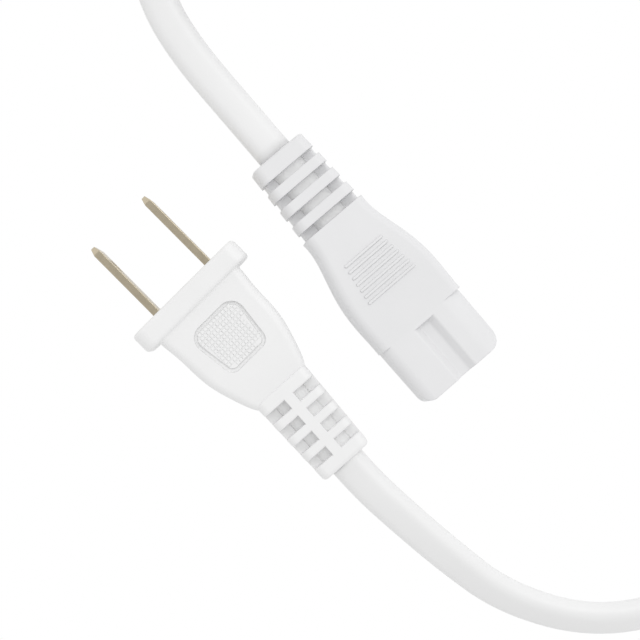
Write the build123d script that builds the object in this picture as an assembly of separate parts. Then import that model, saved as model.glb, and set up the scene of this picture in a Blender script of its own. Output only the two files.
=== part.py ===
from build123d import *
import os
from math import cos, pi, radians, sin, tan

# A two-core power cord: a moulded two-blade plug, a flat lead wound into a coil, and a moulded
# figure-eight appliance connector. Millimetres, +Z up, everything lies on the plane z = 0. The
# origin is on that plane, under the middle of the box round the plug and the connector.
# The plug and the connector are each drawn in their own frame: +X from the face to the cord,
# +Y across, +Z up, origin at the middle of the face.

# Lead: flat jacket round two insulated cores
CORD_WIDTH = 6.7
CORD_THICK = 4.2
CORE_RADIUS = 1.05
CORE_SPREAD = 1.1
CONDUCTOR_RADIUS = 0.55
CORD_LENGTH = 1800.0

# Plug: where it lies
PLUG_AT = (-19.75, 3.66)
PLUG_TURN = -45.2
FLEX_TURN = -3.3

# Plug: flange, body and neck
FLANGE_WIDTH = 24.6
FLANGE_HEIGHT = 12.4
FLANGE_LENGTH = 4.0
FLANGE_CORNER = 2.4
FLANGE_EDGE = 0.7
PLUG_NECK = 25.0
# distance from the face, half width, half height, corner radius
PLUG_BODY = (
    (3.0, 9.46, 5.0, 1.5),
    (8.0, 9.3, 5.0, 1.5),
    (13.0, 9.1, 5.0, 1.5),
    (16.5, 8.66, 4.92, 1.5),
    (20.0, 7.7, 4.62, 1.5),
    (22.8, 6.75, 4.1, 1.4),
    (PLUG_NECK, 5.6, 3.35, 1.3),
)

# Plug: moated grip on both broad faces
GRIP_START = 7.0
GRIP_LENGTH = 10.3
GRIP_WIDE = 11.4
GRIP_NARROW = 8.9
GRIP_CORNERS = (2.6, 1.8)
GRIP_MOAT = 0.63
GRIP_DEPTH = 0.55
GRIP_SINK = 0.22
GRIP_ROOM = 2.0
ROOT_FILLET = 0.45

# Plug: slotted strain relief
RELIEF_LENGTH = 17.3
RELIEF_LAP = 0.7
RELIEF_START = (5.7, 3.9)
RELIEF_END = (5.2, 3.65)
RELIEF_CORNER = 1.5
RELIEF_SLOTS = 4
RELIEF_FIRST = 1.8
RELIEF_PITCH = 3.62
RELIEF_SLOT = 1.93
RELIEF_SPINE = 2.0
RELIEF_WEB = 0.75
RELIEF_EDGE = 0.5
RELIEF_LIP = 0.8
RELIEF_ROUND = 0.3

# Plug: blades, the one on the +Y side wider as on a polarised pair
BLADE_SPACING = 12.7
BLADE_OUT = 16.3
BLADE_THICK = 1.4
BLADE_WIDTHS = {1: 7.9, -1: 6.35}
BLADE_TIP = 0.75
BLADE_TAPER = 1.4
BLADE_CHAMFER = 1.2
BLADE_HOLE = 1.6
BLADE_HOLE_BACK = 5.1
BLADE_SHOULDER = 3.2
SHANK_WIDTH = 4.6
BRIDGE_START = 4.6
BRIDGE_LENGTH = 3.6
BRIDGE_SIZE = (16.2, 7.2)
BRIDGE_CORNER = 1.4
CRIMP_RADIUS = 1.15
CRIMP_START = 8.6
CRIMP_LENGTH = 4.0
CRIMP_LAP = 0.8
CRIMP_WALL = 0.4
CRIMP_SEAM = 0.3
WIRE_GAP = 0.5
PLUG_CORE_BEND = 2.2
PLUG_CORE_SPLIT = 1.3
PLUG_CORE_STRAIGHT = 14.9

# Connector: where it lies
CONNECTOR_AT = (30.15, -11.44)
CONNECTOR_TURN = 130.7
CONNECTOR_ROLL = 5.0
CONNECTOR_RISE = 5.9

# Connector: figure-eight nose
NOSE_WIDTH = 18.0
NOSE_FRONT = 17.6
NOSE_HEIGHT = 8.7
NOSE_LENGTH = 12.2
NOSE_SQUARE = 2.0
NOSE_ROUND = 4.3
NOSE_CORNERS = (2.9, 2.0)
GROOVE_LENGTH = 11.6
GROOVE_DEPTH = 1.4
GROOVE_MOUTH = 4.25
GROOVE_FLOOR = 1.9
GROOVE_LIP = 0.6

# Connector: body
# distance from the front, half width, half height, corner radius
CONNECTOR_BODY = (
    (NOSE_LENGTH, 9.15, 4.35, 1.5),
    (16.5, 9.15, 4.75, 1.5),
    (20.5, 9.08, 5.1, 1.5),
    (28.0, 7.75, 4.95, 1.5),
    (35.95, 6.6, 4.25, 1.6),
)
RIB_COUNT = 7
RIB_FIRST = 20.45
RIB_PITCH = 1.264
RIB_WIDTH = 0.5
RIB_PROUD = 0.22
RIB_LENGTHS = (10.8, 8.7)

# Connector: ringed strain relief
CONNECTOR_LENGTH = 51.35
RINGS_START = (6.35, 4.05)
RINGS_END = (5.65, 3.65)
RINGS_CORNER = 1.7
RINGS_COLLAR = 3.2
RINGS_PITCH = 3.53
RINGS_SLOT = 1.58
RINGS_COUNT = 4
RINGS_WEB = 0.9
RINGS_INSET = 0.2
RINGS_WEB_CORNER = 0.6
RINGS_LAP = 0.4
RINGS_EDGE = 0.5
RINGS_ROUND = 0.4

# Connector: insert and contact sleeves, for pins 2.4 across and 8.6 apart
PIN_SPACING = 8.6
SLEEVE_BORE = 1.2
SLEEVE_OUT = 1.6
SLEEVE_FRONT = 1.5
SLEEVE_DEPTH = 9.0
SLEEVE_END = 1.0
SLEEVE_SLIT = 0.6
CRIMP_SPACING = 7.0
GUIDE_RADIUS = 1.5
INSERT_LENGTH = 14.0
INSERT_LOBE = 2.9
INSERT_WEB = 3.6
JACKET_INSIDE = 5.0
CONNECTOR_CORE_BEND = 4.0
CONNECTOR_CORE_SPLIT = 27.5
CONNECTOR_CORE_STRAIGHT = 20.5

# Coil of the length that is put away: two columns of turns, three layers, and part of a fourth
COIL_CENTRE = (5.3, 97.3)
COIL_MEAN = 33.7
COIL_LAYERS = 3
COIL_ENTRY = 30.0
COIL_EXIT = 190.0
COIL_TURNS = 6
COIL_STUB = 24.5
RIDGE_START = -10.0
RIDGE_END = 195.0
ENTRY_RUN = 23.0
EXIT_RUN = 10.9
EXIT_RISE = 4.4
COIL_CORNER = 1.9
TIE_ANGLE = 305.0
TIE_WIDTH = 3.8
TIE_THICK = 0.5

PLUG_RISE = FLANGE_HEIGHT / 2
FLOOR_RISE = CORD_THICK / 2
COIL_OUTER = COIL_MEAN + CORD_WIDTH / 2
COIL_INNER = COIL_MEAN - CORD_WIDTH / 2
LEAVING_RISE = CORD_THICK * 1.5

# Route of the lead from the plug's collar to the coil, and from the connector's collar to the
# coil. The last point of each is worked out where the coil's straight end meets it.
FROM_PLUG = (
    (12.84, -31.01, 6.2),
    (18.6, -36.3, 5.9),
    (26.9, -43.5, 5.0),
    (37.4, -51.6, 3.4),
    (52.1, -56.1, 2.2),
    (66.4, -54.2, 2.15),
    (78.8, -46.4, 2.15),
    (86.9, -33.9, 2.15),
    (89.9, -18.7, 2.15),
    (86.5, 2.1, 2.15),
    (79.0, 30.1, 2.15),
    (69.5, 55.0, 2.15),
)
FROM_CONNECTOR = (
    (-8.98, 34.05, 5.9),
    (-19.5, 46.4, 4.3),
)
COLLAR_DEPTH = 1.0


def lies_across(edge):
    """Whether an edge lies in a plane across the X axis."""
    return edge.bounding_box().size.X < 0.001


def section(x, half_width, half_height, radius):
    """A rounded rectangle across the X axis."""
    across = Plane(origin=(x, 0, 0), x_dir=(0, 1, 0), z_dir=(1, 0, 0))
    return across * RectangleRounded(2 * half_width, 2 * half_height, radius)


def jacket_section(plane):
    return plane * SlotOverall(CORD_WIDTH, CORD_THICK)


def jacket_run(start, end):
    """A straight stretch of jacket along the X axis."""
    across = Plane(origin=(start, 0, 0), x_dir=(0, 1, 0), z_dir=(1, 0, 0))
    return extrude(jacket_section(across), end - start)


def block(x_range, y_range, z_range):
    """A box between two corners."""
    sizes = [high - low for low, high in (x_range, y_range, z_range)]
    middle = [(low + high) / 2 for low, high in (x_range, y_range, z_range)]
    return Pos(*middle) * Box(*sizes)


def rod(start, end, y, radius):
    """A round bar along the X axis, at one distance across."""
    return Pos((start + end) / 2, y, 0) * Rot(0, 90, 0) * Cylinder(radius, end - start)


def swept(points, radii, profile):
    """A profile carried along straight runs joined by tangent arcs."""
    path = FilletPolyline(*points, radius=radii)
    start = Plane(origin=path @ 0, x_dir=Vector(0, 0, 1).cross(path % 0), z_dir=path % 0)
    return sweep(start * profile, path=path)


PLUG_PLACE = Location((*PLUG_AT, PLUG_RISE), (0, 0, PLUG_TURN))
RELIEF_PLACE = Location((PLUG_NECK, 0, 0), (0, 0, FLEX_TURN))
CONNECTOR_PLACE = Location((*CONNECTOR_AT, CONNECTOR_RISE), (0, 0, CONNECTOR_TURN))
CONNECTOR_PLACE *= Rot(CONNECTOR_ROLL, 0, 0)


def plug_flange():
    flange = extrude(section(0, FLANGE_WIDTH / 2, FLANGE_HEIGHT / 2, FLANGE_CORNER), FLANGE_LENGTH)
    ends = flange.faces().sort_by(Axis.X)
    return fillet(ends[0].edges() + ends[-1].edges(), FLANGE_EDGE)


def grip_outline(inset):
    """The grip's shield shape seen from above: wide at the flange, narrow towards the cord."""
    near = GRIP_START + inset
    far = GRIP_START + GRIP_LENGTH - inset
    wide = GRIP_WIDE / 2 - inset
    narrow = GRIP_NARROW / 2 - inset
    outline = make_face(Polyline((near, -wide), (near, wide), (far, narrow), (far, -narrow), close=True))
    corners = outline.vertices().sort_by(Axis.X)
    outline = fillet(corners[:2], GRIP_CORNERS[0] - inset)
    return fillet(outline.vertices().sort_by(Axis.X)[-2:], GRIP_CORNERS[1] - inset)


def grip_cut():
    """The moat of the grip and its slightly sunk field, on the upper face."""
    top = PLUG_BODY[0][2]
    moat = extrude(grip_outline(0) - grip_outline(GRIP_MOAT), GRIP_ROOM)
    field = extrude(grip_outline(GRIP_MOAT), GRIP_ROOM)
    return Pos(0, 0, top - GRIP_DEPTH) * moat + Pos(0, 0, top - GRIP_SINK) * field


def slot_rims(relief):
    """The edges where the slots' faces meet the outside, without those along the web and the spine."""
    inside = relief.edges().filter_by_position(Axis.X, RELIEF_EDGE, RELIEF_LENGTH - RELIEF_PITCH / 2)
    rims = inside.filter_by(lies_across)
    rims = rims.filter_by(lambda edge: abs(edge.center().Y) > RELIEF_SPINE / 2 + RELIEF_ROUND)
    return rims.filter_by(lambda edge: abs(edge.center().Z) > RELIEF_WEB + RELIEF_ROUND)


def plug_relief():
    """The strain relief behind the neck: rings and a spine over the jacket, joined by a web."""
    near = section(-RELIEF_LAP, *RELIEF_START, RELIEF_CORNER)
    relief = loft([near, section(RELIEF_LENGTH, *RELIEF_END, RELIEF_CORNER)])
    relief = fillet(relief.faces().sort_by(Axis.X)[0].edges(), RELIEF_EDGE)
    relief = fillet(relief.faces().sort_by(Axis.X)[-1].edges(), RELIEF_LIP)
    for slot in range(RELIEF_SLOTS):
        start = RELIEF_FIRST + slot * RELIEF_PITCH
        for side in (1, -1):
            across = sorted((side * RELIEF_SPINE / 2, side * 8))
            for face in (1, -1):
                upright = sorted((face * RELIEF_WEB, face * 6))
                relief -= block((start, start + RELIEF_SLOT), across, upright)
    return RELIEF_PLACE * fillet(slot_rims(relief), RELIEF_ROUND)


def plug_form():
    """The whole outside of the plug's moulding, solid."""
    body = loft([section(*station) for station in PLUG_BODY])
    form = plug_flange() + body
    root = form.edges().filter_by_position(Axis.X, FLANGE_LENGTH - 0.01, FLANGE_LENGTH + 0.01)
    root = root.filter_by(lambda edge: abs(edge.center().Z) < 5.2 and abs(edge.center().Y) < 9.6)
    form = fillet(root, ROOT_FILLET)
    form -= grip_cut()
    form -= mirror(grip_cut(), Plane.XY)
    return form + plug_relief()


def crimp_seam(start, end):
    """The open seam on the upper side of a crimp barrel."""
    return block((start, end), (-CRIMP_SEAM / 2, CRIMP_SEAM / 2), (0, 2 * CRIMP_RADIUS))


def blade(side):
    """One blade with its shank and its crimp barrel, stamped from one strip."""
    y = side * BLADE_SPACING / 2
    half = BLADE_WIDTHS[side] / 2
    thick = BLADE_THICK / 2
    tip = BLADE_TIP / 2
    plan = make_face(
        Polyline(
            (-BLADE_OUT, -tip),
            (-BLADE_OUT, tip),
            (BLADE_TAPER - BLADE_OUT, thick),
            (BLADE_SHOULDER, thick),
            (BLADE_SHOULDER, -thick),
            (BLADE_TAPER - BLADE_OUT, -thick),
            close=True,
        )
    )
    strip = Pos(0, 0, -half) * extrude(plan, 2 * half)
    nose = strip.faces().sort_by(Axis.X)[0]
    strip = chamfer(nose.edges().filter_by(Axis.Y), BLADE_CHAMFER)
    strip -= Pos(BLADE_HOLE_BACK - BLADE_OUT, 0, 0) * Rot(90, 0, 0) * Cylinder(BLADE_HOLE, 4)
    strip += block((BLADE_SHOULDER, CRIMP_START), (-thick, thick), (-SHANK_WIDTH / 2, SHANK_WIDTH / 2))
    barrel_end = CRIMP_START + CRIMP_LENGTH
    strip += rod(CRIMP_START - CRIMP_LAP, barrel_end, 0, CRIMP_RADIUS)
    strip -= rod(CRIMP_START + CRIMP_WALL, barrel_end, 0, CONDUCTOR_RADIUS)
    strip -= crimp_seam(CRIMP_START + CRIMP_WALL, barrel_end)
    return Pos(0, y, 0) * strip


def blade_room(side):
    """The space that a blade's shank and barrel take inside the moulding."""
    y = side * BLADE_SPACING / 2
    thick = BLADE_THICK / 2
    half = BLADE_WIDTHS[side] / 2
    room = block((-1, BLADE_SHOULDER), (-thick, thick), (-half, half))
    room += block((BLADE_SHOULDER, CRIMP_START), (-thick, thick), (-SHANK_WIDTH / 2, SHANK_WIDTH / 2))
    room += rod(CRIMP_START - CRIMP_LAP, CRIMP_START + CRIMP_LENGTH, 0, CRIMP_RADIUS)
    return Pos(0, y, 0) * room


def bridge_block():
    width, height = BRIDGE_SIZE
    return extrude(section(BRIDGE_START, width / 2, height / 2, BRIDGE_CORNER), BRIDGE_LENGTH)


def plug_bridge():
    """The hard inner block that keeps the blades apart."""
    return bridge_block() - blade_room(1) - blade_room(-1)


def plug_core_points(side, end):
    """The way of one core: out of the jacket, apart, and along to the crimp."""
    y = side * BLADE_SPACING / 2
    outer = RELIEF_PLACE * Location((RELIEF_LENGTH - COLLAR_DEPTH, side * CORE_SPREAD, 0))
    inner = RELIEF_PLACE * Location((-JACKET_INSIDE - PLUG_CORE_SPLIT, side * CORE_SPREAD, 0))
    points = [outer.position, inner.position, Vector(PLUG_CORE_STRAIGHT, y, 0), Vector(end, y, 0)]
    return points, [PLUG_CORE_BEND, PLUG_CORE_BEND]


def plug_core(side):
    """One core with its insulation, up to just short of the crimp."""
    return swept(*plug_core_points(side, CRIMP_START + CRIMP_LENGTH + WIRE_GAP), Circle(CORE_RADIUS))


def plug_wire(side):
    """The insulation of one core."""
    return plug_core(side) - plug_strand(side)


def plug_strand(side):
    """The conductor of one core, with its bare end in the crimp."""
    return swept(*plug_core_points(side, CRIMP_START + CRIMP_WALL), Circle(CONDUCTOR_RADIUS))


def plug_pieces():
    place = PLUG_PLACE
    pieces = {"plug_bridge": plug_bridge()}
    jacket = RELIEF_PLACE * jacket_run(-JACKET_INSIDE, RELIEF_LENGTH - COLLAR_DEPTH)
    mould = plug_form() - RELIEF_PLACE * jacket_run(-JACKET_INSIDE, RELIEF_LENGTH + 1)
    mould -= bridge_block()
    for side, name in ((1, "wide"), (-1, "narrow")):
        pieces[f"plug_blade_{name}"] = blade(side)
        pieces[f"plug_wire_{name}"] = plug_wire(side)
        pieces[f"plug_conductor_{name}"] = plug_strand(side)
        core = plug_core(side)
        mould -= blade_room(side)
        mould -= core
        mould -= pieces[f"plug_conductor_{name}"]
        jacket -= core
    pieces["plug_moulding"] = mould
    pieces["cord_in_plug"] = jacket
    return {name: place * piece for name, piece in pieces.items()}


def nose_section(x):
    """The figure-eight outline: one side round, the other squarer, so that it goes in one way."""
    across = Plane(origin=(x, 0, 0), x_dir=(0, 1, 0), z_dir=(1, 0, 0))
    outline = Rectangle(NOSE_WIDTH, NOSE_HEIGHT)
    corners = outline.vertices().sort_by(Axis.X)
    outline = fillet(corners[:2], NOSE_ROUND)
    return across, fillet(outline.vertices().sort_by(Axis.X)[-2:], NOSE_SQUARE)


def nose_groove():
    """The waist between the two lobes, on the upper side, with rounded lips."""
    top = NOSE_HEIGHT / 2
    floor = top - GROOVE_DEPTH
    mouth, bottom = GROOVE_MOUTH / 2, GROOVE_FLOOR / 2
    outline = make_face(
        Polyline(
            (-mouth - 1.5, top + 1),
            (-mouth - 1.5, top),
            (-mouth, top),
            (-bottom, floor),
            (bottom, floor),
            (mouth, top),
            (mouth + 1.5, top),
            (mouth + 1.5, top + 1),
            close=True,
        )
    )
    turns = [v for v in outline.vertices() if abs(v.X) < mouth + 0.1]
    return fillet(turns, GROOVE_LIP)


def connector_nose():
    across, outline = nose_section(0)
    grooved = outline - nose_groove() - mirror(nose_groove(), Plane.XZ)
    front = extrude(across * grooved, GROOVE_LENGTH)
    rear = Pos(GROOVE_LENGTH, 0, 0) * extrude(across * outline, NOSE_LENGTH - GROOVE_LENGTH)
    plan = make_face(
        Polyline(
            (0, -NOSE_FRONT / 2),
            (0, NOSE_FRONT / 2),
            (NOSE_LENGTH, NOSE_WIDTH / 2),
            (NOSE_LENGTH, -NOSE_WIDTH / 2),
            close=True,
        )
    )
    plan = fillet(plan.vertices().group_by(Axis.X)[0].sort_by(Axis.Y)[0], NOSE_CORNERS[0])
    plan = fillet(plan.vertices().group_by(Axis.X)[0].sort_by(Axis.Y)[-1], NOSE_CORNERS[1])
    return (front + rear) & (Pos(0, 0, -NOSE_HEIGHT) * extrude(plan, 2 * NOSE_HEIGHT))


def connector_body(proud):
    """The body's form, its broad faces raised by a given height."""
    return loft([section(x, width, height + proud, corner) for x, width, height, corner in CONNECTOR_BODY])


def grip_ribs():
    """The thin cross ribs of the thumb grip, which stand equally proud of both broad faces."""
    raised = connector_body(RIB_PROUD)
    ribs = []
    for index in range(RIB_COUNT):
        x = RIB_FIRST + index * RIB_PITCH
        length = RIB_LENGTHS[0] + (RIB_LENGTHS[1] - RIB_LENGTHS[0]) * index / (RIB_COUNT - 1)
        outline = Pos(x, 0) * Rot(0, 0, 90) * SlotOverall(length, RIB_WIDTH)
        ribs.append(raised & extrude(outline, NOSE_HEIGHT, both=True))
    return ribs


def ring_edges(ring):
    """The edges round a ring's cut ends, without the buried end of the first and the collar's end."""
    across = ring.edges().filter_by(lies_across)
    return across.filter_by_position(Axis.X, CONNECTOR_BODY[-1][0], CONNECTOR_LENGTH - RINGS_COLLAR / 2)


def connector_relief():
    """Rings round the jacket, joined by a thinner web, and the plain collar at the end."""
    start = CONNECTOR_BODY[-1][0] - RINGS_LAP
    near = section(start, *RINGS_START, RINGS_CORNER)
    outer = loft([near, section(CONNECTOR_LENGTH, *RINGS_END, RINGS_CORNER)])
    collar_end = outer.faces().sort_by(Axis.X)[-1]
    outer = fillet(collar_end.edges(), RINGS_EDGE)
    web = loft(
        [
            section(start, RINGS_START[0] - RINGS_INSET, RINGS_WEB, RINGS_WEB_CORNER),
            section(CONNECTOR_LENGTH - 1, RINGS_END[0] - RINGS_INSET, RINGS_WEB, RINGS_WEB_CORNER),
        ]
    )
    for index in range(RINGS_COUNT):
        end = CONNECTOR_LENGTH - RINGS_COLLAR - index * RINGS_PITCH
        outer -= block((end - RINGS_SLOT, end), (-9, 9), (-6, 6))
    for ring in outer.solids():
        web += fillet(ring_edges(ring), RINGS_ROUND)
    return web


def insert_outline(x):
    across = Plane(origin=(x, 0, 0), x_dir=(0, 1, 0), z_dir=(1, 0, 0))
    lobes = Rectangle(PIN_SPACING, INSERT_WEB)
    for side in (1, -1):
        lobes += Pos(side * PIN_SPACING / 2, 0) * Circle(INSERT_LOBE)
    return across * lobes


def sleeve(side):
    """A rolled contact sleeve with its slit, and its crimp barrel behind."""
    back = SLEEVE_FRONT + SLEEVE_DEPTH
    crimp_end = back + SLEEVE_END + CRIMP_LENGTH
    roll = rod(SLEEVE_FRONT, back + SLEEVE_END, 0, SLEEVE_OUT)
    roll -= rod(SLEEVE_FRONT, back, 0, SLEEVE_BORE)
    roll -= block((SLEEVE_FRONT, back), (-SLEEVE_SLIT / 2, SLEEVE_SLIT / 2), (0, 3))
    barrel = rod(back + SLEEVE_END, crimp_end, 0, CRIMP_RADIUS)
    barrel -= rod(back + SLEEVE_END + CRIMP_WALL, crimp_end, 0, CONDUCTOR_RADIUS)
    barrel -= crimp_seam(back + SLEEVE_END + CRIMP_WALL, crimp_end)
    return Pos(0, side * PIN_SPACING / 2, 0) * roll + Pos(0, side * CRIMP_SPACING / 2, 0) * barrel


def sleeve_room(side):
    """The stepped hole that a sleeve sits in, with its guide hole for the pin."""
    back = SLEEVE_FRONT + SLEEVE_DEPTH + SLEEVE_END
    y = side * PIN_SPACING / 2
    room = rod(-1, SLEEVE_FRONT, y, GUIDE_RADIUS)
    room += rod(SLEEVE_FRONT, back, y, SLEEVE_OUT)
    return room + rod(back, back + CRIMP_LENGTH, side * CRIMP_SPACING / 2, CRIMP_RADIUS)


def connector_core_points(side, end):
    """The way of one core, from the jacket's end apart to the crimp."""
    y = side * CRIMP_SPACING / 2
    jacket = side * CORE_SPREAD
    points = [
        Vector(CONNECTOR_LENGTH, jacket, 0),
        Vector(CONNECTOR_CORE_SPLIT, jacket, 0),
        Vector(CONNECTOR_CORE_STRAIGHT, y, 0),
        Vector(end, y, 0),
    ]
    return points, [CONNECTOR_CORE_BEND, CONNECTOR_CORE_BEND]


def connector_pieces():
    crimp_end = SLEEVE_FRONT + SLEEVE_DEPTH + SLEEVE_END + CRIMP_LENGTH
    strand_end = SLEEVE_FRONT + SLEEVE_DEPTH + SLEEVE_END + CRIMP_WALL
    form = connector_nose() + connector_body(0)
    for rib in grip_ribs():
        form += rib
    form += connector_relief()
    inside = CONNECTOR_BODY[-1][0] - JACKET_INSIDE
    jacket = jacket_run(inside, CONNECTOR_LENGTH)
    mould = form - jacket_run(inside, CONNECTOR_LENGTH + 1)
    insert = extrude(insert_outline(0), INSERT_LENGTH)
    mould -= insert
    pieces = {}
    for side, name in ((1, "square"), (-1, "round")):
        core = swept(*connector_core_points(side, crimp_end + WIRE_GAP), Circle(CORE_RADIUS))
        strand = swept(*connector_core_points(side, strand_end), Circle(CONDUCTOR_RADIUS))
        pieces[f"contact_sleeve_{name}"] = sleeve(side)
        pieces[f"connector_wire_{name}"] = core - strand
        pieces[f"connector_conductor_{name}"] = strand
        insert -= sleeve_room(side)
        for solid in (sleeve_room(side), core, strand):
            mould -= solid
        jacket -= core
    pieces["connector_moulding"] = mould
    pieces["connector_insert"] = insert
    pieces["cord_in_connector"] = jacket
    return {name: CONNECTOR_PLACE * piece for name, piece in pieces.items()}


def coil_point(radius, angle, z):
    x, y = COIL_CENTRE
    return Vector(x + radius * cos(radians(angle)), y + radius * sin(radians(angle)), z)


def coil_end(angle, z_ring, z_end, towards, run):
    """A straight end of the coil: where it touches the ring, where the free lead meets it, and one
    run further on along the same line."""
    touch = coil_point(COIL_OUTER, angle, z_ring)
    level = touch + Vector(-sin(radians(angle)), cos(radians(angle)), 0) * towards * COIL_STUB
    free = Vector(level.X, level.Y, z_end)
    return touch, free, free + (free - touch).normalized() * run


ENTRY_TOUCH, ENTRY_FREE, ENTRY_BEFORE = coil_end(COIL_ENTRY, FLOOR_RISE, FLOOR_RISE, -1, ENTRY_RUN)
EXIT_TOUCH, EXIT_FREE, EXIT_BEFORE = coil_end(COIL_EXIT, LEAVING_RISE, EXIT_RISE, 1, EXIT_RUN)


def straight_jacket(start, end):
    along = (end - start).normalized()
    plane = Plane(origin=start, x_dir=Vector(0, 0, 1).cross(along), z_dir=along)
    return extrude(jacket_section(plane), (end - start).length)


def coil_band(inner, outer, low, high, start, arc):
    """A stretch of ring with rounded edges, about the coil's axis."""
    upright = Plane(origin=(*COIL_CENTRE, 0), x_dir=(1, 0, 0), z_dir=(0, -1, 0))
    outline = RectangleRounded(outer - inner, high - low, COIL_CORNER)
    outline = Pos((inner + outer) / 2, (low + high) / 2) * outline
    band = revolve(upright * outline, Axis((*COIL_CENTRE, 0), (0, 0, 1)), arc)
    return band.rotate(Axis((*COIL_CENTRE, 0), (0, 0, 1)), start)


def coil_tie():
    """A flat band round the bundle of turns, with its lapped end on top."""
    inner, outer = COIL_INNER - CORD_WIDTH / 2, COIL_OUTER + CORD_WIDTH / 2
    top = COIL_LAYERS * CORD_THICK
    upright = Plane(origin=(*COIL_CENTRE, 0), x_dir=(1, 0, 0), z_dir=(0, -1, 0))
    middle = (inner + outer) / 2
    hole = Pos(middle, (top + TIE_THICK) / 2) * RectangleRounded(
        outer - inner - TIE_THICK, top - TIE_THICK, COIL_CORNER
    )
    around = Pos(middle, (top + TIE_THICK) / 2) * RectangleRounded(
        outer - inner + TIE_THICK, top + TIE_THICK, COIL_CORNER + TIE_THICK
    )
    loop = extrude(upright * (around - hole), TIE_WIDTH / 2, both=True)
    return loop.rotate(Axis((*COIL_CENTRE, 0), (0, 0, 1)), TIE_ANGLE)


def coil_pieces():
    inner, outer = COIL_INNER - CORD_WIDTH / 2, COIL_OUTER + CORD_WIDTH / 2
    top = COIL_LAYERS * CORD_THICK
    coil = coil_band(inner, outer, 0, top, 0, 360)
    low, high = top - 2 * COIL_CORNER, top + CORD_THICK
    coil += coil_band(inner, COIL_MEAN, low, high, RIDGE_START, RIDGE_END - RIDGE_START)
    coil += straight_jacket(ENTRY_TOUCH, ENTRY_FREE)
    coil += straight_jacket(EXIT_TOUCH, EXIT_FREE)
    tie = coil_tie()
    return {"cord_coil": coil - tie, "coil_tie": tie}


def bend_radii(points):
    """The radius at each inner point: 0.45 of the shorter run over the tangent of half the turn."""
    radii = []
    for before, here, after in zip(points, points[1:], points[2:]):
        half_turn = radians((here - before).get_angle(after - here)) / 2
        radii.append(0.45 * min((here - before).length, (after - here).length) / tan(half_turn))
    return radii


def lead(name, points):
    """A free stretch of the lead along its route, with its radii and its volume told."""
    radii = bend_radii(points)
    path = FilletPolyline(*points, radius=radii)
    plane = Plane(origin=path @ 0, x_dir=Vector(0, 0, 1).cross(path % 0), z_dir=path % 0)
    profile = jacket_section(plane)
    tube = sweep(profile, path=path)
    print(name, "radii", [round(radius, 1) for radius in radii])
    print(name, "volume", round(tube.volume, 1), "section x length", round(profile.area * path.length, 1))
    return tube, path.length


def lead_pieces():
    plug_start = (PLUG_PLACE * RELIEF_PLACE * Location((RELIEF_LENGTH - COLLAR_DEPTH, 0, 0))).position
    connector_start = (CONNECTOR_PLACE * Location((CONNECTOR_LENGTH, 0, 0))).position
    print("starts", plug_start, connector_start, "ends", ENTRY_FREE, EXIT_FREE)
    from_plug = [plug_start, *(Vector(*point) for point in FROM_PLUG), ENTRY_BEFORE, ENTRY_FREE]
    from_connector = [connector_start, *(Vector(*point) for point in FROM_CONNECTOR)]
    from_connector += [EXIT_BEFORE, EXIT_FREE]
    plug_side, plug_length = lead("cord_from_plug", from_plug)
    connector_side, connector_length = lead("cord_from_connector", from_connector)
    wound = (COIL_TURNS * 360 + COIL_EXIT - COIL_ENTRY) / 360 * 2 * pi * COIL_MEAN
    inside = RELIEF_LENGTH + 2 * JACKET_INSIDE + CONNECTOR_LENGTH - CONNECTOR_BODY[-1][0]
    total = plug_length + connector_length + wound + 2 * COIL_STUB + inside
    print("lead", round(total), "mm of", round(CORD_LENGTH))
    return {"cord_from_plug": plug_side, "cord_from_connector": connector_side}


def main():
    os.makedirs("parts", exist_ok=True)
    pieces = {**plug_pieces(), **connector_pieces(), **coil_pieces(), **lead_pieces()}
    for name, piece in pieces.items():
        export_step(piece, f"parts/{name}.step")


main()
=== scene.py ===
"""A two-core power cord: moulded plug, flat lead and figure-eight connector, dressed for rendering."""

import math

import bmesh
import bpy
from mathutils import Matrix, Vector


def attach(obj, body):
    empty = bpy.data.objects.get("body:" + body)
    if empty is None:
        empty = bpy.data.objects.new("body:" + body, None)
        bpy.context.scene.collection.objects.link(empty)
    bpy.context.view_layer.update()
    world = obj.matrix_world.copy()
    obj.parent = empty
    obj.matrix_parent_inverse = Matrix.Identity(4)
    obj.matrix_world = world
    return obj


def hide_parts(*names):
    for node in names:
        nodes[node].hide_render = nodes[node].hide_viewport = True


bl_info = {
    "name": "Power Cord",
    "version": (1, 0, 0),
    "blender": (4, 5, 0),
    "location": "3D View > Sidebar > Power Cord",
    "description": "Dresses a moulded power cord: lead, mouldings, grips, metal and studio",
    "category": "Object",
}

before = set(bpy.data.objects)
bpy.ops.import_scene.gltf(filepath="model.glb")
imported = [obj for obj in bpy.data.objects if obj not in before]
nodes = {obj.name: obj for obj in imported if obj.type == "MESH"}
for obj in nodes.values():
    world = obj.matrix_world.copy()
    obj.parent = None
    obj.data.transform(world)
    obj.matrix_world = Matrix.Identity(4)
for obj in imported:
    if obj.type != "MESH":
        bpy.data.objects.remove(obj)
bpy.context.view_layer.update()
ROOT = "root"
MM = 0.001
CM = 0.01

# The plug has its own frame: +X from its face to the cord, +Z up.
PLUG_PLACE = (-0.01975, 0.00366, 0.0062)
PLUG_HEADING = math.radians(-45.2)
PLUG = Matrix.Translation(PLUG_PLACE) @ Matrix.Rotation(PLUG_HEADING, 4, "Z")

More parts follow.
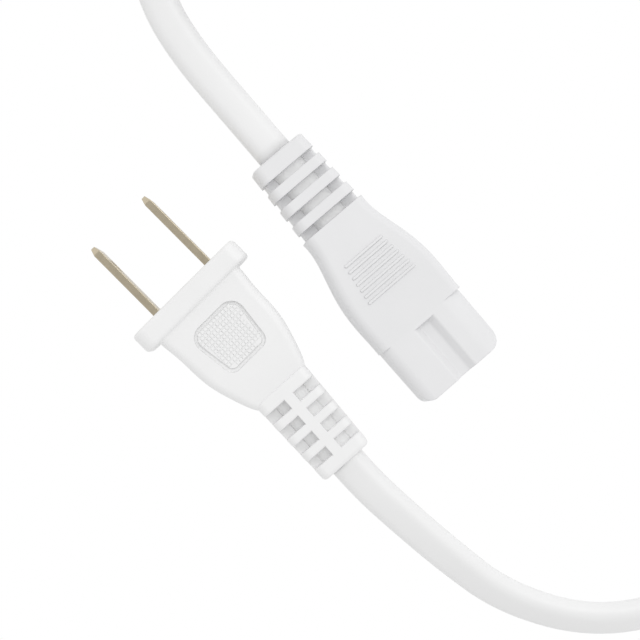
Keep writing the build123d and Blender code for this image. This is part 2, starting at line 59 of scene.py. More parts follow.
# The lead's route from the plug's collar to the coil, and from the coil to the connector's collar.
FROM_PLUG = (
    (0.008667, -0.026287, 0.0062),
    (0.01284, -0.03101, 0.0062),
    (0.0186, -0.0363, 0.0059),
    (0.0269, -0.0435, 0.005),
    (0.0374, -0.0516, 0.0034),
    (0.0521, -0.0561, 0.0022),
    (0.0664, -0.0542, 0.00215),
    (0.0788, -0.0464, 0.00215),
    (0.0869, -0.0339, 0.00215),
    (0.0899, -0.0187, 0.00215),
    (0.0865, 0.0021, 0.00215),
    (0.079, 0.0301, 0.00215),
    (0.0695, 0.055, 0.00215),
    (0.061136, 0.074689, 0.0021),
    (0.049636, 0.094607, 0.0021),
)
TO_CONNECTOR = (
    (-0.026933, 0.066738, 0.0044),
    (-0.025046, 0.056036, 0.00356),
    (-0.0195, 0.0464, 0.0043),
    (-0.00898, 0.03405, 0.0059),
    (-0.003335, 0.02749, 0.0059),
)

# The coil: where it lies, and in degrees where the lead meets it and how far the lead goes round
# it, in how many steps.
COIL_CENTRE = (0.0053, 0.0973)
COIL_ENTRY = 30.0
COIL_TURNED = 2320.0
COIL_STEPS = 155

# How the winding changes track: from and to, in degrees after the lead meets the coil, then the
# step outwards in widths and the step upwards in thicknesses.
COIL_MOVES = (
    (284, 362, -1, 0),
    (630, 695, 0, 1),
    (990, 1055, 0, 1),
    (1350, 1415, 0, 1),
    (1500, 1600, 1, 0),
    (1590, 1680, 0, -1),
    (1950, 2040, 0, -1),
)

# How finely the lead is drawn: along it between two control points, and round each of its edges.
SPLINE_STEPS = 8
EDGE_STEPS = 12

# Where the lead's roll grows and where it goes, in metres from the plug, and where it becomes the
# connector's own, in metres before the connector.
ROLL_GROWS = (0.0, 0.06)
ROLL_GOES = (0.14, 0.24)
CONNECTOR_HOLDS = (0.0, 0.03)
CONNECTOR_ROLL = math.radians(5)

# The mould's eroded grain is about 0.05 mm, drawn coarser so that it shows.
MOULD_GRAIN = 0.303 * MM
# Cloudy gloss where the vinyl was handled.
HANDLED_CLOUD = 6.25 * MM
# The extruded jacket's faint grain, and its slow change of gloss.
JACKET_GRAIN = 0.455 * MM
JACKET_CLOUD = 8.33 * MM
# Lines that the die drew half a millimetre apart: how many round the jacket, and how many
# centimetres long.
DIE_LINES = 36.0
DIE_LINE_LENGTH = 4.0
# Clouds where the plating is worn, and the grain of hard plastic.
METAL_WEAR = 1.11 * MM
PLASTIC_GRAIN = 0.667 * MM
# The height of every grain.
GRAIN_DEPTH = 0.1 * MM

# How round the edges are: of the mouldings, of the studs, and of pressed metal.
MOULDED_EDGE = 0.2 * MM
STUD_EDGE = 0.04 * MM
PRESSED_EDGE = 0.22 * MM
EDGE_SAMPLES = 6

# A stud's top as a share of its foot.
STUD_TOP = 0.9

# The studio: where the key light hangs and how wide it is, how far the floor reaches each way, and
# how far it lies below the cord, so that the two never share a face.
KEY_PLACE = (0.25, 0.5, 0.9)
KEY_SIZE = 0.6
FLOOR_REACH = 3.0
FLOOR_DROP = 0.05 * MM

# The surround, by the height of a direction, which is 1 straight up: from where it is as light as
# the zenith, and from where the camera and its arm darken it, how soon fully, and to what share.
ZENITH_FROM = 0.9
OVERHEAD_FROM = 0.985
OVERHEAD_FULL = 0.995
OVERHEAD_LIGHT = 0.6
# The side of the picture that a little more light comes from.
UPPER_RIGHT = (0.64, 0.77, 0.0)


def linear(code):
    """An sRGB hex colour as linear RGBA."""
    channels = [int(code[place : place + 2], 16) / 255 for place in (0, 2, 4)]
    return [c / 12.92 if c <= 0.04045 else ((c + 0.055) / 1.055) ** 2.4 for c in channels] + [1.0]


WHITE = linear("FFFFFF")


def ease(value, start, end):
    """0 before start, 1 after end, and two even bends between them."""
    share = min(max((value - start) / (end - start), 0.0), 1.0)
    return 2 * share * share if share < 0.5 else 1 - 2 * (1 - share) ** 2


def join(tree, node, sources):
    """Links outputs to a node's inputs, which are given by name or number."""
    for key, source in sources.items():
        tree.links.new(source, node.inputs[key])


def add(tree, kind, settings, sources=None):
    """Adds a node with its settings, which are its own or its inputs', and its links."""
    made = tree.nodes.new(kind)
    for key, value in settings.items():
        if isinstance(key, str) and key in made.bl_rna.properties:
            setattr(made, key, value)
        else:
            made.inputs[key].default_value = value
    join(tree, made, sources or {})
    return made


def shader(name, values):
    """A new material with a Principled shader, its tree and that shader."""
    material = bpy.data.materials.new(name)
    material.use_nodes = True
    tree = material.node_tree
    principled = tree.nodes["Principled BSDF"]
    for key, value in values.items():
        principled.inputs[key].default_value = value
    return material, tree, principled


def cord_settings():
    """The sizes and colours that the user has chosen."""
    return bpy.context.scene.power_cord


def piece(name, mesh):
    """A finished piece at the origin, which stands still and takes its finish from a slot."""
    made = bpy.data.objects.new(name, mesh)
    bpy.context.collection.objects.link(made)
    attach(made, ROOT)
    return made


def dress(name, finish):
    """Gives a CAD node its finish."""
    nodes[name].material_slots[0].material = finish


# Finishes


def shade_of(colour, share):
    """The same colour, darker or lighter by a share."""
    return [channel * share for channel in colour[:3]] + [1.0]


def soft_pvc(name, colour, rounding):
    """Soft white PVC, injection moulded: satin, with a fine eroded grain, and edges that are slightly
    round, which catch the light as thin soft lines."""
    material, tree, principled = shader(name, {"IOR": 1.53})
    place = add(tree, "ShaderNodeTexCoord", {}).outputs["Object"]
    grain = add(tree, "ShaderNodeTexNoise", {"Scale": 1 / MOULD_GRAIN, "Detail": 2.0}, {"Vector": place})
    cloud = add(tree, "ShaderNodeTexNoise", {"Scale": 1 / HANDLED_CLOUD, "Detail": 2.0}, {"Vector": place})
    tone = add(
        tree,
        "ShaderNodeMix",
        {"data_type": "RGBA", 6: shade_of(colour, 0.96), 7: colour},
        {0: cloud.outputs["Fac"]},
    )
    rough = add(
        tree, "ShaderNodeMapRange", {"To Min": 0.42, "To Max": 0.54}, {"Value": grain.outputs["Fac"]}
    )
    edge = add(tree, "ShaderNodeBevel", {"samples": EDGE_SAMPLES, "Radius": rounding})
    bump = add(
        tree,
        "ShaderNodeBump",
        {"Strength": 0.07, "Distance": GRAIN_DEPTH},
        {"Height": grain.outputs["Fac"], "Normal": edge.outputs[0]},
    )
    join(
        tree,
        principled,
        {"Base Color": tone.outputs[2], "Roughness": rough.outputs[0], "Normal": bump.outputs[0]},
    )
    return material


def jacket_pvc(drawn):
    """Soft white PVC, extruded: smoother than the mouldings, with a little soft shine, and faint
    lines along the lead where its own UV map is drawn on."""
    colour = list(cord_settings().finish.lead)
    material, tree, principled = shader("soft_pvc_extruded", {"IOR": 1.53})
    place = add(tree, "ShaderNodeTexCoord", {}).outputs["Object"]
    grain = add(tree, "ShaderNodeTexNoise", {"Scale": 1 / JACKET_GRAIN, "Detail": 2.0}, {"Vector": place})
    cloud = add(tree, "ShaderNodeTexNoise", {"Scale": 1 / JACKET_CLOUD, "Detail": 2.0}, {"Vector": place})
    tone = add(
        tree,
        "ShaderNodeMix",
        {"data_type": "RGBA", 6: shade_of(colour, 0.97), 7: colour},
        {0: cloud.outputs["Fac"]},
    )
    rough = add(
        tree, "ShaderNodeMapRange", {"To Min": 0.36, "To Max": 0.46}, {"Value": cloud.outputs["Fac"]}
    )
    bump = add(
        tree,
        "ShaderNodeBump",
        {"Strength": 0.04, "Distance": GRAIN_DEPTH},
        {"Height": grain.outputs["Fac"]},
    )
    if drawn:
        along = add(tree, "ShaderNodeUVMap", {"uv_map": "lead"})
        stretched = add(
            tree,
            "ShaderNodeVectorMath",
            {"operation": "MULTIPLY", 1: (1 / DIE_LINE_LENGTH, DIE_LINES, 0.0)},
            {0: along.outputs[0]},
        )
        lines = add(
            tree, "ShaderNodeTexNoise", {"Scale": 1.0, "Detail": 1.0}, {"Vector": stretched.outputs[0]}
        )
        bump = add(
            tree,
            "ShaderNodeBump",
            {"Strength": 0.05, "Distance": GRAIN_DEPTH},
            {"Height": lines.outputs["Fac"], "Normal": bump.outputs[0]},
        )
    join(
        tree,
        principled,
        {"Base Color": tone.outputs[2], "Roughness": rough.outputs[0], "Normal": bump.outputs[0]},
    )
    return material


def plated_metal(name, colour, roughness):
    """Rolled and plated metal: a soft gloss, cloudy where it is worn, with edges that the press left
    slightly round."""
    material, tree, principled = shader(name, {"Metallic": 1.0})
    place = add(tree, "ShaderNodeTexCoord", {}).outputs["Object"]
    wear = add(tree, "ShaderNodeTexNoise", {"Scale": 1 / METAL_WEAR, "Detail": 3.0}, {"Vector": place})
    tone = add(
        tree,
        "ShaderNodeMix",
        {"data_type": "RGBA", 6: shade_of(colour, 0.93), 7: colour},
        {0: wear.outputs["Fac"]},
    )
    rough = add(
        tree,
        "ShaderNodeMapRange",
        {"To Min": roughness - 0.03, "To Max": roughness + 0.05},
        {"Value": wear.outputs["Fac"]},
    )
    edge = add(tree, "ShaderNodeBevel", {"samples": EDGE_SAMPLES, "Radius": PRESSED_EDGE})
    join(
        tree,
        principled,
        {"Base Color": tone.outputs[2], "Roughness": rough.outputs[0], "Normal": edge.outputs[0]},
    )
    return material


def plain_plastic(name, colour, roughness):
    """Hard moulded plastic, satin, with a faint moulded grain."""
    material, tree, principled = shader(name, {"IOR": 1.5})
    place = add(tree, "ShaderNodeTexCoord", {}).outputs["Object"]
    grain = add(tree, "ShaderNodeTexNoise", {"Scale": 1 / PLASTIC_GRAIN, "Detail": 2.0}, {"Vector": place})
    tone = add(
        tree,
        "ShaderNodeMix",
        {"data_type": "RGBA", 6: shade_of(colour, 0.93), 7: colour},
        {0: grain.outputs["Fac"]},
    )
    rough = add(
        tree,
        "ShaderNodeMapRange",
        {"To Min": roughness - 0.05, "To Max": roughness + 0.05},
        {"Value": grain.outputs["Fac"]},
    )
    join(tree, principled, {"Base Color": tone.outputs[2], "Roughness": rough.outputs[0]})
    return material


# Lead


def coil_controls(width, thick, mean):
    """Control points of the wound length: edges of the control polygon touch each turn's circle, and
    the first and the last point lie on the straight ends."""
    step = COIL_TURNED / COIL_STEPS
    made = []
    for index in range(-1, COIL_STEPS + 1):
        turned = (index + 0.5) * step
        radius = mean + width / 2
        height = thick / 2
        for start, end, outwards, upwards in COIL_MOVES:
            share = ease(turned, start, end)
            radius += share * outwards * width
            height += share * upwards * thick
        radius /= math.cos(math.radians(step / 2))
        angle = math.radians(COIL_ENTRY + turned)
        x = COIL_CENTRE[0] + radius * math.cos(angle)
        y = COIL_CENTRE[1] + radius * math.sin(angle)
        made.append((x, y, height))
    return made


def spline_points(points):
    """The points of a NURBS spline with those control points, as Blender evaluates it."""
    curve = bpy.data.curves.new("lead_line", "CURVE")
    curve.dimensions = "3D"
    curve.resolution_u = SPLINE_STEPS
    spline = curve.splines.new("NURBS")
    spline.points.add(len(points) - 1)
    for control, point in zip(spline.points, points):
        control.co = (*point, 1.0)
    spline.order_u = 3
    spline.use_endpoint_u = True
    line = bpy.data.objects.new("lead_line", curve)
    bpy.context.collection.objects.link(line)
    evaluated = line.evaluated_get(bpy.context.evaluated_depsgraph_get())
    mesh = bpy.data.meshes.new_from_object(evaluated)
    found = [vertex.co.copy() for vertex in mesh.vertices]
    bpy.data.meshes.remove(mesh)
    bpy.data.objects.remove(line)
    bpy.data.curves.remove(curve)
    return found


def jacket_outline(width, thick):
    """Points round the jacket's section, a flat oval, as pairs across and up."""
    radius = thick / 2
    flat = width / 2 - radius
    outline = []
    for side in (1, -1):
        for index in range(EDGE_STEPS + 1):
            angle = math.radians(90 - 180 * index / EDGE_STEPS)
            outline.append((side * (flat + radius * math.cos(angle)), side * radius * math.sin(angle)))
        outline.append((0.0, -side * radius))
    return outline


def tube(name, path, width, thick, roll):
    """A flat tube along a path, rolled as asked but never into the floor, with its length in
    centimetres and its girth as UVs."""
    outline = jacket_outline(width, thick)
    build = bmesh.new()
    uv = build.loops.layers.uv.new("lead")
    travelled = [0.0]
    for before, here in zip(path, path[1:]):
        travelled.append(travelled[-1] + (here - before).length)
    rings = []
    for index, point in enumerate(path):
        ahead = path[min(index + 1, len(path) - 1)] - path[max(index - 1, 0)]
        side = ahead.cross(Vector((0, 0, 1))).normalized()
        up = side.cross(ahead).normalized()
        turn = roll(travelled[index], travelled[-1] - travelled[index])
        across = side * math.cos(turn) + up * math.sin(turn)
        upright = up * math.cos(turn) - side * math.sin(turn)
        lowest = thick / 2 + (width - thick) / 2 * math.sin(abs(turn))
        centre = Vector((point.x, point.y, max(point.z, lowest)))
        rings.append([build.verts.new(centre + across * a + upright * b) for a, b in outline])
    count = len(outline)
    for index, (ring, following) in enumerate(zip(rings, rings[1:])):
        for place in range(count):
            after = (place + 1) % count
            face = build.faces.new((ring[place], following[place], following[after], ring[after]))
            face.smooth = True
            corners = ((index, place), (index + 1, place), (index + 1, place + 1), (index, place + 1))
            for loop, (along, around) in zip(face.loops, corners):
                loop[uv].uv = (travelled[along] / CM, around / count)
    build.faces.new(rings[0])
    build.faces.new(list(reversed(rings[-1])))
    bmesh.ops.recalc_face_normals(build, faces=build.faces)
    mesh = bpy.data.meshes.new(name)
    build.to_mesh(mesh)
    build.free()
    return mesh


class POWERCORD_OT_lead(bpy.types.Operator):
    """Lays the free lead and its coil as one flat jacket from the plug to the connector"""

    bl_idname = "power_cord.lead"
    bl_label = "Lead"

    def execute(self, context):
        chosen = cord_settings().lead
        coil = coil_controls(chosen.width, chosen.thickness, chosen.coil_radius)
        path = spline_points([*FROM_PLUG, *coil, *TO_CONNECTOR])

        def roll(travelled, left):
            """How far the jacket is rolled: its flat face leans to the picture's lower left behind
            the plug, and as the connector does at the other end."""
            grown = chosen.collar_roll + (chosen.roll - chosen.collar_roll) * ease(travelled, *ROLL_GROWS)
            levelled = -grown * (1 - ease(travelled, *ROLL_GOES))
            return levelled + CONNECTOR_ROLL * (1 - ease(left, *CONNECTOR_HOLDS))

        mesh = tube("lead_jacket", path, chosen.width, chosen.thickness, roll)
        jacket = piece("lead_jacket", mesh)
        jacket.data.materials.append(jacket_pvc(True))
        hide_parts("cord_from_plug", "cord_coil", "cord_from_connector")
        plain = jacket_pvc(False)
        dress("cord_in_plug", plain)
        dress("cord_in_connector", plain)
        dress("coil_tie", plain_plastic("tie_band", linear("E4E4E2"), 0.55))
        return {"FINISHED"}


class POWERCORD_OT_mouldings(bpy.types.Operator):
    """Gives the plug's and the connector's mouldings their satin PVC"""

    bl_idname = "power_cord.mouldings"
    bl_label = "Mouldings"

    def execute(self, context):
        chosen = cord_settings().finish
        # The connector's PVC is the plug's made greyer: that greyer colour is painted shade.
        for name, colour in (("plug", chosen.plug), ("connector", chosen.connector)):
            dress(name + "_moulding", soft_pvc("soft_pvc_" + name, list(colour), MOULDED_EDGE))
        return {"FINISHED"}


def stud_tree():
    """Rows of small square studs on a shield-shaped field, on two opposite faces."""
    tree = bpy.data.node_groups.new("grip_studs", "GeometryNodeTree")
    inputs = (
        ("Rows Along", "NodeSocketInt"),
        ("Rows Across", "NodeSocketInt"),
        ("Size Along", "NodeSocketFloat"),
        ("Size Across", "NodeSocketFloat"),
        ("Half Length", "NodeSocketFloat"),
        ("Near Half Width", "NodeSocketFloat"),
        ("Far Half Width", "NodeSocketFloat"),
        ("Corner", "NodeSocketFloat"),
        ("Base", "NodeSocketFloat"),
        ("Top", "NodeSocketFloat"),
        ("Height", "NodeSocketFloat"),
        ("Place", "NodeSocketVector"),
        ("Finish", "NodeSocketMaterial"),
    )
    for label, kind in inputs:
        tree.interface.new_socket(label, in_out="INPUT", socket_type=kind)
    tree.interface.new_socket("Studs", in_out="OUTPUT", socket_type="NodeSocketGeometry")
    given = add(tree, "NodeGroupInput", {}).outputs
    grid = add(
        tree,
        "GeometryNodeMeshGrid",
        {},
        {
            "Size X": given["Size Along"],
            "Size Y": given["Size Across"],
            "Vertices X": given["Rows Along"],
            "Vertices Y": given["Rows Across"],
        },
    )
    # The field narrows from its near end to its far end.
    spot = add(tree, "GeometryNodeInputPosition", {})
    signed = add(tree, "ShaderNodeSeparateXYZ", {}, {0: spot.outputs[0]})
    near_end = add(tree, "ShaderNodeMath", {"operation": "MULTIPLY", 1: -1.0}, {0: given["Half Length"]})
    half_width = add(
        tree,
        "ShaderNodeMapRange",
        {"clamp": False},
        {
            "Value": signed.outputs["X"],
            "From Min": near_end.outputs[0],
            "From Max": given["Half Length"],
            "To Min": given["Near Half Width"],
            "To Max": given["Far Half Width"],
        },
    )
    # A stud is left out where it would hang over the field's edge, and the field has round corners:
    # a spot is too far out when it is further than their radius from the middle of their arc.
    reach = add(tree, "ShaderNodeCombineXYZ", {}, {"X": given["Half Length"], "Y": half_width.outputs[0]})
    corner = add(tree, "ShaderNodeCombineXYZ", {}, {"X": given["Corner"], "Y": given["Corner"]})
    arc_middle = add(
        tree, "ShaderNodeVectorMath", {"operation": "SUBTRACT"}, {0: reach.outputs[0], 1: corner.outputs[0]}
    )
    folded = add(tree, "ShaderNodeVectorMath", {"operation": "ABSOLUTE"}, {0: spot.outputs[0]})
    beyond = add(
        tree,
        "ShaderNodeVectorMath",
        {"operation": "SUBTRACT"},
        {0: folded.outputs[0], 1: arc_middle.outputs[0]},
    )
    outwards = add(
        tree, "ShaderNodeVectorMath", {"operation": "MAXIMUM", 1: (0.0, 0.0, 0.0)}, {0: beyond.outputs[0]}
    )
    away = add(tree, "ShaderNodeVectorMath", {"operation": "LENGTH"}, {0: outwards.outputs[0]})
    over = add(
        tree,
        "ShaderNodeMath",
        {"operation": "GREATER_THAN"},
        {0: away.outputs["Value"], 1: given["Corner"]},
    )
    kept = add(
        tree,
        "GeometryNodeDeleteGeometry",
        {"domain": "POINT"},
        {"Geometry": grid.outputs["Mesh"], "Selection": over.outputs[0]},
    )
    # A four-sided cone without its point is a square stud with sloping sides.
    stud = add(
        tree,
        "GeometryNodeMeshCone",
        {"Vertices": 4},
        {"Radius Top": given["Top"], "Radius Bottom": given["Base"], "Depth": given["Height"]},
    )
    squared = add(
        tree,
        "GeometryNodeTransform",
        {"Rotation": (0.0, 0.0, math.radians(45))},
        {"Geometry": stud.outputs["Mesh"]},
    )
    studs = add(
        tree,
        "GeometryNodeInstanceOnPoints",
        {},
        {"Points": kept.outputs[0], "Instance": squared.outputs[0]},
    )
    upper = add(
        tree,
        "GeometryNodeTransform",
        {},
        {"Geometry": studs.outputs[0], "Translation": given["Place"]},
    )
    lower = add(
        tree,
        "GeometryNodeTransform",
        {"Rotation": (math.pi, 0.0, 0.0)},
        {"Geometry": upper.outputs[0]},
    )
    both = add(tree, "GeometryNodeJoinGeometry", {})
    for source in (upper, lower):
        join(tree, both, {0: source.outputs[0]})
    plain = add(tree, "GeometryNodeRealizeInstances", {}, {0: both.outputs[0]})
    dressed = add(
        tree, "GeometryNodeSetMaterial", {}, {"Geometry": plain.outputs[0], "Material": given["Finish"]}
    )
    add(tree, "NodeGroupOutput", {}, {0: dressed.outputs[0]})
    return tree


def grown(name, tree, values):
    """The plain mesh that a tree makes with the values of its named inputs."""
    blank = bpy.data.meshes.new(name)
    holder = bpy.data.objects.new(name, blank)
    bpy.context.collection.objects.link(holder)
    modifier = holder.modifiers.new(name, "NODES")
    modifier.node_group = tree
    for item in tree.interface.items_tree:
        if item.in_out == "INPUT":
            modifier[item.identifier] = values[item.name]
    evaluated = holder.evaluated_get(bpy.context.evaluated_depsgraph_get())
    mesh = bpy.data.meshes.new_from_object(evaluated)
    holder.modifiers.clear()
    bpy.data.objects.remove(holder)
    bpy.data.meshes.remove(blank)
    return mesh


class POWERCORD_OT_grips(bpy.types.Operator):
    """Grows the small studs of the plug's two grips"""

    bl_idname = "power_cord.grips"
    bl_label = "Grips"

    def execute(self, context):
        chosen = cord_settings().grip
        half_stud = chosen.stud / 2
        half_diagonal = chosen.stud / math.sqrt(2)
        values = {
            "Rows Along": chosen.rows_along,
            "Rows Across": chosen.rows_across,
            "Size Along": (chosen.rows_along - 1) * chosen.pitch_along,
            "Size Across": (chosen.rows_across - 1) * chosen.pitch_across,
            "Half Length": chosen.length / 2 - half_stud,
            "Near Half Width": chosen.near_width / 2 - half_stud,
            "Far Half Width": chosen.far_width / 2 - half_stud,
            "Corner": chosen.corner,
            "Base": half_diagonal,
            "Top": half_diagonal * STUD_TOP,
            "Height": chosen.height,
            "Place": (chosen.start + chosen.length / 2, 0.0, chosen.rise),
            "Finish": soft_pvc("soft_pvc_grip", list(cord_settings().finish.plug), STUD_EDGE),
        }
        mesh = grown("grip_studs", stud_tree(), values)
        mesh.transform(PLUG)
        piece("grip_studs", mesh)
        return {"FINISHED"}


class POWERCORD_OT_metal(bpy.types.Operator):
    """Gives the blades, the contact sleeves and the conductors their metals"""

    bl_idname = "power_cord.metal"
    bl_label = "Metal"

    def execute(self, context):
        plated = plated_metal("nickel_plated_brass", list(cord_settings().finish.plating), 0.2)
        bronze = plated_metal("spring_bronze", linear("C99A62"), 0.3)
        copper = plated_metal("bare_copper", linear("D08A5E"), 0.35)
        for name in nodes:
            if name.startswith("plug_blade"):
                dress(name, plated)
            elif name.startswith("contact_sleeve"):
                dress(name, bronze)
            elif "conductor" in name:
                dress(name, copper)
        return {"FINISHED"}


class POWERCORD_OT_insides(bpy.types.Operator):
    """Gives the hard inserts and the cores their plastics"""

    bl_idname = "power_cord.insides"
    bl_label = "Inserts and cores"

    def execute(self, context):
        insert = plain_plastic("hard_insert", linear("E6E6E2"), 0.4)
        white = plain_plastic("core_insulation_white", linear("E8E8E6"), 0.45)
        black = plain_plastic("core_insulation_black", linear("202022"), 0.45)
        for name in nodes:
            if name in ("connector_insert", "plug_bridge"):
                dress(name, insert)
            elif "_wire_" in name:
                dress(name, black if name.endswith(("narrow", "round")) else white)
        return {"FINISHED"}


# Studio


def studio_camera(aim, distance, lens):
    """A camera straight above the cord, with the top of the picture towards +Y."""
    camera = bpy.data.cameras.new("camera")
    camera.lens = lens
    camera.clip_start = CM
    viewer = bpy.data.objects.new("camera", camera)
    viewer.location = Vector(aim) + Vector((0, 0, distance))
    bpy.context.scene.collection.objects.link(viewer)
    bpy.context.scene.camera = viewer


def studio_light(power):
    """A square soft light on the upper right, turned to the cord."""
    light = bpy.data.lights.new("key_light", "AREA")
    light.shape = "SQUARE"
    light.size = KEY_SIZE
    light.energy = power
    lamp = bpy.data.objects.new("key_light", light)
    lamp.location = KEY_PLACE
    lamp.rotation_mode = "QUATERNION"
    lamp.rotation_quaternion = (-Vector(KEY_PLACE)).to_track_quat("-Z", "Y")
    bpy.context.collection.objects.link(lamp)


def studio_world(zenith, horizon, slant):
    """A soft white surround, brighter towards the horizon and to the upper right, dark where the
    camera hangs, and plain white to the camera."""
    world = bpy.data.worlds.new("studio")
    world.use_nodes = True
    tree = world.node_tree
    sky = tree.nodes["Background"]
    sky.inputs["Color"].default_value = WHITE
    way = add(tree, "ShaderNodeTexCoord", {}).outputs["Generated"]
    height = add(tree, "ShaderNodeSeparateXYZ", {}, {0: way})
    dome = add(
        tree,
        "ShaderNodeMapRange",
        {"From Min": 0.0, "From Max": ZENITH_FROM, "To Min": horizon, "To Max": zenith},
        {"Value": height.outputs["Z"]},
    )
    towards = add(
        tree, "ShaderNodeVectorMath", {"operation": "DOT_PRODUCT", 1: UPPER_RIGHT}, {0: way}
    )
    slanted = add(
        tree,
        "ShaderNodeMapRange",
        {"From Min": -1.0, "From Max": 1.0, "To Min": 1 - slant, "To Max": 1 + slant},
        {"Value": towards.outputs["Value"]},
    )
    # The camera and its arm hang overhead and show in polished metal.
    overhead = add(
        tree,
        "ShaderNodeMapRange",
        {"From Min": OVERHEAD_FROM, "From Max": OVERHEAD_FULL, "To Min": 1.0, "To Max": OVERHEAD_LIGHT},
        {"Value": height.outputs["Z"]},
    )
    leaning = add(
        tree, "ShaderNodeMath", {"operation": "MULTIPLY"}, {0: dome.outputs[0], 1: slanted.outputs[0]}
    )
    shaded = add(
        tree, "ShaderNodeMath", {"operation": "MULTIPLY"}, {0: leaning.outputs[0], 1: overhead.outputs[0]}
    )
    seen = add(tree, "ShaderNodeLightPath", {})
    strength = add(
        tree,
        "ShaderNodeMix",
        {"data_type": "FLOAT", 3: 1.0},
        {0: seen.outputs["Is Camera Ray"], 2: shaded.outputs[0]},
    )
    join(tree, sky, {"Strength": strength.outputs[0]})
    bpy.context.scene.world = world


def studio_floor(glow):
    """A pale floor lit from below, so that it has no shadow on it and lights the cord's sides."""
    mesh = bpy.data.meshes.new("floor")
    corners = [(-1, -1), (1, -1), (1, 1), (-1, 1)]
    places = [(x * FLOOR_REACH, y * FLOOR_REACH, -FLOOR_DROP) for x, y in corners]
    mesh.from_pydata(places, [], [(0, 1, 2, 3)])
    floor = bpy.data.objects.new("floor", mesh)
    bpy.context.collection.objects.link(floor)
    finish = {
        "Base Color": linear("D0D0D0"),
        "Roughness": 0.9,
        "Emission Color": WHITE,
        "Emission Strength": glow,
    }
    material, tree, principled = shader("floor_paper", finish)
    lit = add(tree, "ShaderNodeEmission", {"Color": WHITE})
    seen = add(tree, "ShaderNodeLightPath", {})
    both = add(
        tree,
        "ShaderNodeMixShader",
        {},
        {0: seen.outputs["Is Camera Ray"], 1: principled.outputs[0], 2: lit.outputs[0]},
    )
    join(tree, tree.nodes["Material Output"], {"Surface": both.outputs[0]})
    mesh.materials.append(material)


class POWERCORD_OT_stage(bpy.types.Operator):
    """Sets up the pale floor, the soft light and the camera above the cord"""

    bl_idname = "power_cord.stage"
    bl_label = "Studio"

    def execute(self, context):
        chosen = cord_settings().studio
        context.scene.view_settings.view_transform = "Standard"
        context.scene.view_settings.look = "None"
        studio_camera(chosen.aim, chosen.distance, chosen.lens)
        studio_world(chosen.zenith, chosen.horizon, chosen.slant)
        studio_floor(chosen.floor)
        studio_light(chosen.key)
        return {"FINISHED"}


# What a user would change


def number_property(name, description, default, unit="NONE"):
    """A number, with its unit if it has one."""
    return bpy.props.FloatProperty(name=name, description=description, default=default, unit=unit)


def length_property(name, description, default):
    """A length in metres."""
    return number_property(name, description, default, "LENGTH")


def count_property(name, description, default):
    """A whole number of like things."""
    return bpy.props.IntProperty(name=name, description=description, default=default, min=1)


def colour_property(name, description, code):
    """A colour whose default is an sRGB hex value."""
    return bpy.props.FloatVectorProperty(
        name=name, description=description, default=linear(code), subtype="COLOR", size=4
    )


class PowerCordLead(bpy.types.PropertyGroup):
    """The flat lead"""

    width: length_property("Width", "Width of the flat jacket", 6.7 * MM)
    thickness: length_property("Thickness", "Thickness of the flat jacket", 4.2 * MM)
    length: length_property("Length", "Length of the free lead", 1.75)
    coil_radius: length_property("Coil radius", "Radius at the middle of the turns", 33.7 * MM)
    collar_roll: number_property(
        "Roll at the plug", "How far the jacket is rolled at the plug", math.radians(14), "ROTATION"
    )
    roll: number_property(
        "Roll on the way", "How far the jacket rolls on its way from the plug", math.radians(46), "ROTATION"
    )


class PowerCordGrip(bpy.types.PropertyGroup):
    """The studded field of the plug's grips, measured from the plug's face along it"""

    start: length_property("Start", "From the plug's face to the field", 7.63 * MM)
    length: length_property("Length", "Length of the field", 9.04 * MM)
    near_width: length_property("Near width", "Width of the field at the flange", 9.95 * MM)
    far_width: length_property("Far width", "Width of the field towards the cord", 7.8 * MM)
    corner: length_property("Corner", "Radius of the field's corners", 1.3 * MM)
    rise: length_property("Rise", "Height of the studs' middle above the plug's axis", 4.8 * MM)
    pitch_along: length_property("Pitch along", "Distance of the studs along the plug", 0.82 * MM)
    pitch_across: length_property("Pitch across", "Distance of the studs across it", 0.72 * MM)
    stud: length_property("Stud", "Width of a stud at its foot", 0.62 * MM)
    height: length_property("Height", "Height of a stud with its sunk foot", 0.09 * MM)
    rows_along: count_property("Rows along", "Studs along the plug", 11)
    rows_across: count_property("Rows across", "Studs across it", 13)


class PowerCordFinish(bpy.types.PropertyGroup):
    """The colours of the outer pieces"""

    plug: colour_property("Plug", "Soft PVC of the plug", "F6F6F6")
    # The connector's greyer white is painted shade: a shaded copy of the plug's PVC, standing in for the
    # dimmer light on the connector.
    connector: colour_property("Connector", "Soft PVC of the connector, from a greyer batch", "EBEBEC")
    lead: colour_property("Lead", "Extruded PVC", "F3F3F3")
    plating: colour_property("Blades", "Plated brass", "D2C6AE")


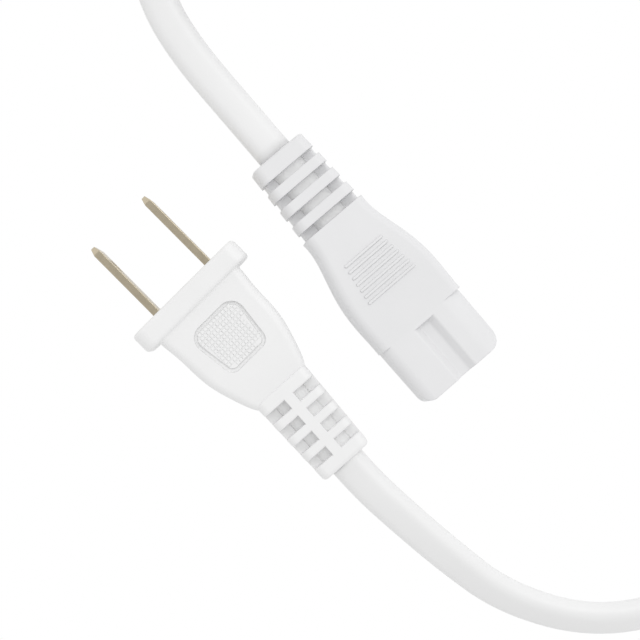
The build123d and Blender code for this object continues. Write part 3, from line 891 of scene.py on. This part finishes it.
class PowerCordStudio(bpy.types.PropertyGroup):
    """Camera, light and floor"""

    aim: bpy.props.FloatVectorProperty(
        name="Aim", description="Where the camera looks", default=(0.00455, -0.00194, 0.0056), unit="LENGTH"
    )
    distance: length_property("Distance", "From there to the camera", 0.3744)
    lens: number_property("Lens", "Focal length in millimetres", 118.1, "CAMERA")
    key: number_property("Key light", "Power of the key light", 2.0, "POWER")
    zenith: number_property("Zenith", "Light from above", 0.79)
    horizon: number_property("Horizon", "Light from the sides", 0.92)
    slant: number_property("Slant", "How much more light comes from the upper right", 0.12)
    floor: number_property("Floor", "How far the floor glows", 0.3)


class PowerCordSettings(bpy.types.PropertyGroup):
    """All that a user would change"""

    lead: bpy.props.PointerProperty(type=PowerCordLead)
    grip: bpy.props.PointerProperty(type=PowerCordGrip)
    finish: bpy.props.PointerProperty(type=PowerCordFinish)
    studio: bpy.props.PointerProperty(type=PowerCordStudio)


STEPS = (
    POWERCORD_OT_stage,
    POWERCORD_OT_lead,
    POWERCORD_OT_mouldings,
    POWERCORD_OT_grips,
    POWERCORD_OT_metal,
    POWERCORD_OT_insides,
)


class POWERCORD_PT_panel(bpy.types.Panel):
    """The steps in order"""

    bl_idname = "POWERCORD_PT_panel"
    bl_label = "Power Cord"
    bl_space_type = "VIEW_3D"
    bl_region_type = "UI"
    bl_category = "Power Cord"

    def draw(self, context):
        for step in STEPS:
            self.layout.operator(step.bl_idname)


GROUPS = (PowerCordLead, PowerCordGrip, PowerCordFinish, PowerCordStudio, PowerCordSettings)
CLASSES = (*GROUPS, *STEPS, POWERCORD_PT_panel)


def register():
    for item in CLASSES:
        bpy.utils.register_class(item)
    bpy.types.Scene.power_cord = bpy.props.PointerProperty(type=PowerCordSettings)


def unregister():
    del bpy.types.Scene.power_cord
    for item in reversed(CLASSES):
        bpy.utils.unregister_class(item)


def main():
    """Runs every step in order."""
    register()
    for step in STEPS:
        group, name = step.bl_idname.split(".")
        getattr(getattr(bpy.ops, group), name)()


if __name__ == "__main__":
    main()
